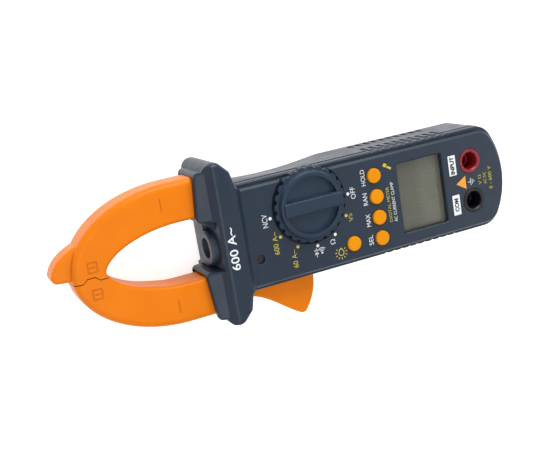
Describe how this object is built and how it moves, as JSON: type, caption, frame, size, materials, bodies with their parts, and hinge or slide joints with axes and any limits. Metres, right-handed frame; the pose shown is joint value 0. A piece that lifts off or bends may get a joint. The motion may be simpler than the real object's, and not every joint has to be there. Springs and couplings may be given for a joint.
{
  "type": "clamp meter",
  "caption": "Handheld clamp-type electrical meter: spring-closed split jaws with a side trigger, rotary switch, push buttons, display and two input sockets.",
  "frame": {"origin": "on the flat back, midway across the handle and level with the middle of the rotary switch", "axes": "+Z out of the face, +Y along the handle towards the jaws, +X to the reader's right"},
  "size_m": [0.0788, 0.2204, 0.0369],
  "materials": {
    "black_plastic": "gloss",
    "board": "solder mask",
    "brass": "bright",
    "button_rubber": "matte",
    "cell_sleeve": "gloss",
    "clear_plastic": "clear",
    "copper": "enamelled",
    "core_steel": "laminated",
    "housing": "satin",
    "knob_plastic": "satin",
    "lcd_glass": "satin",
    "nozzle_plastic": "satin",
    "orange_plastic": "satin",
    "red_plastic": "gloss",
    "silicone": "matte",
    "steel": "bright",
    "white_plastic": "matte"
  },
  "bodies": {
    "housing": {"battery_contacts": "brass", "battery_cover": "housing", "battery_cover_screw": "steel", "battery_left": "cell_sleeve", "battery_right": "cell_sleeve", "battery_springs": "steel", "board_capacitors": "steel", "board_chips": "black_plastic", "board_screws": "steel", "buzzer": "black_plastic", "case_screws": "steel", "common_jack_black": "black_plastic", "fixed_jaw_bobbin": "white_plastic", "fixed_jaw_core": "core_steel", "fixed_jaw_front_shell": "orange_plastic", "fixed_jaw_rear_shell": "orange_plastic", "fixed_jaw_winding": "copper", "front_cover": "housing", "input_fuse_resistor": "white_plastic", "input_jack_red": "red_plastic", "jaw_pivot_pin": "steel", "jaw_return_spring": "steel", "lcd_backlight": "white_plastic", "lcd_frame": "black_plastic", "lcd_panel": "lcd_glass", "lcd_window": "clear_plastic", "main_board": "board", "ncv_led": "clear_plastic", "ncv_lens": "clear_plastic", "rear_cover": "housing", "socket_tubes": "brass", "tactile_switches": "black_plastic", "torch_led": "clear_plastic", "torch_lens": "clear_plastic", "torch_nozzle": "nozzle_plastic", "zebra_strips": "silicone"},
    "moving_jaw": {"moving_jaw_front_shell": "orange_plastic", "moving_jaw_rear_shell": "orange_plastic", "moving_jaw_core": "core_steel", "moving_jaw_bobbin": "white_plastic", "moving_jaw_winding": "copper", "trigger": "orange_plastic"},
    "rotary_switch": {"rotary_knob": "knob_plastic", "knob_detent_ball": "steel", "knob_detent_spring": "steel", "switch_rotor": "black_plastic", "switch_wipers": "brass"},
    "button_hold": {"button_hold": "button_rubber"},
    "button_range": {"button_range": "button_rubber"},
    "button_max": {"button_max": "button_rubber"},
    "button_select": {"button_select": "button_rubber"},
    "button_light": {"button_light": "button_rubber"}
  },
  "joints": [
    {"name": "jaw_hinge", "type": "hinge", "parent": "housing", "child": "moving_jaw", "pos_m": [-0.0225, 0.041, 0.018], "axis": [0, 0, 1], "range_deg": [0, 20], "stiffness_Nm_per_rad": 0.6, "springref_deg": -20.05, "deforming": ["jaw_return_spring"]},
    {"name": "switch_turn", "type": "hinge", "parent": "housing", "child": "rotary_switch", "pos_m": [0.0086, 0, 0.032], "axis": [0, 0, 1], "range_deg": [-174, 0]},
    {"name": "button_hold_press", "type": "slide", "parent": "housing", "child": "button_hold", "axis": [0, 0, -1], "range_m": [0, 0.0008], "stiffness_N_per_m": 400, "springref_m": -0.0008},
    {"name": "button_range_press", "type": "slide", "parent": "housing", "child": "button_range", "axis": [0, 0, -1], "range_m": [0, 0.0008], "stiffness_N_per_m": 400, "springref_m": -0.0008},
    {"name": "button_max_press", "type": "slide", "parent": "housing", "child": "button_max", "axis": [0, 0, -1], "range_m": [0, 0.0008], "stiffness_N_per_m": 400, "springref_m": -0.0008},
    {"name": "button_select_press", "type": "slide", "parent": "housing", "child": "button_select", "axis": [0, 0, -1], "range_m": [0, 0.0008], "stiffness_N_per_m": 400, "springref_m": -0.0008},
    {"name": "button_light_press", "type": "slide", "parent": "housing", "child": "button_light", "axis": [0, 0, -1], "range_m": [0, 0.0008], "stiffness_N_per_m": 400, "springref_m": -0.0008}
  ]
}
